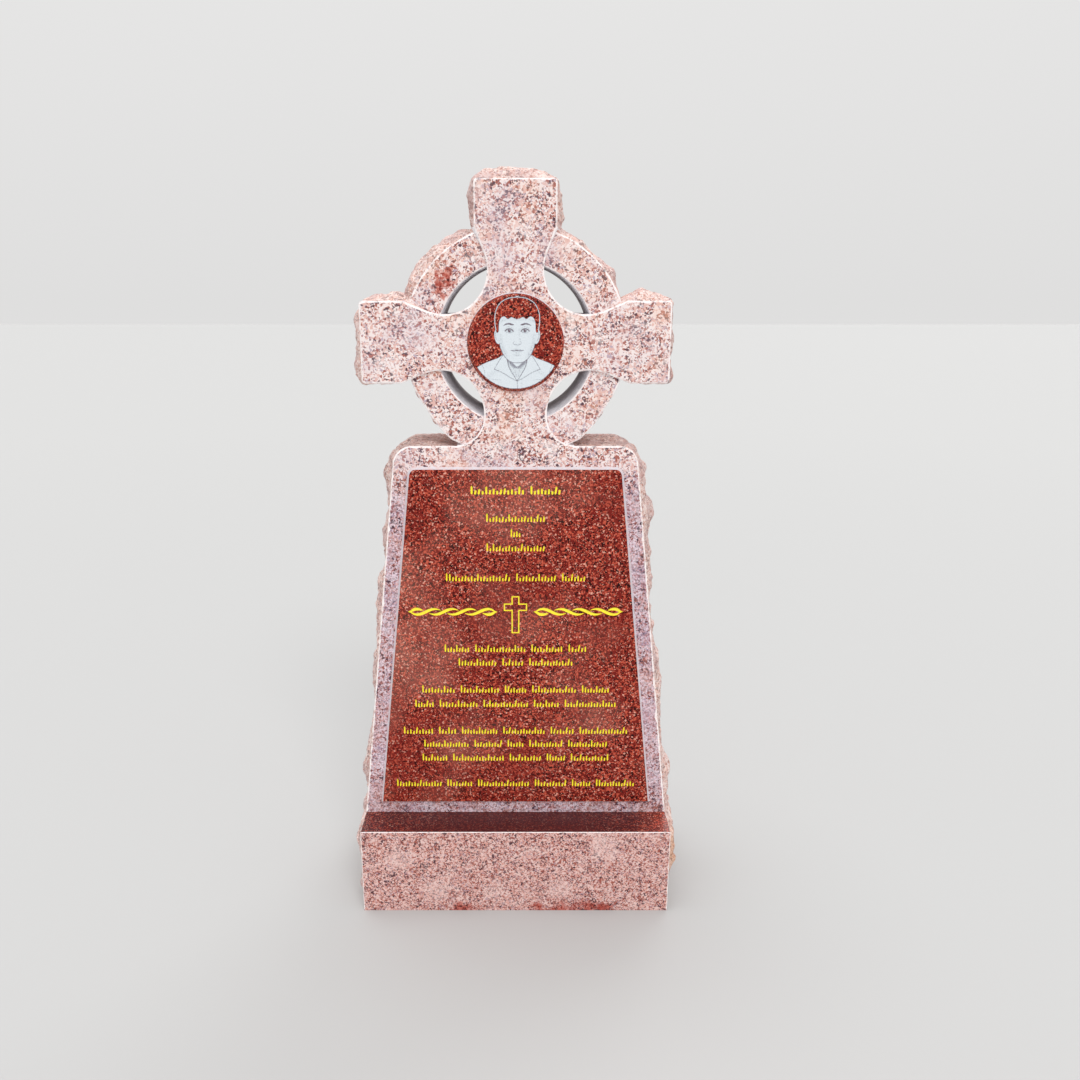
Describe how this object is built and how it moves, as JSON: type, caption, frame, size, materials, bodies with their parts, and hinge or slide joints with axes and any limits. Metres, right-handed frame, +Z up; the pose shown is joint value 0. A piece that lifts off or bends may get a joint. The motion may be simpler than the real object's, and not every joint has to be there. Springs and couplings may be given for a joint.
{
  "type": "celtic cross headstone",
  "caption": "Pink granite headstone: a ringed cross on a tapering tablet with a raised polished panel, standing on a base block.",
  "frame": {"origin": "middle of the base's underside", "axes": "+Z up, the carved front looks along -Y, +X to the viewer's right"},
  "size_m": [0.6511, 0.3, 1.3885],
  "materials": {
    "dressed_granite": "fine-hammered pink granite with white, mauve and dark speckle, rock-pitched edges, and polished dark red panel and disc",
    "base_granite": "fine-hammered pink granite with a polished dark red top and rock-pitched ends"
  },
  "bodies": {
    "root": {"headstone": "dressed_granite", "base": "base_granite"}
  },
  "joints": []
}
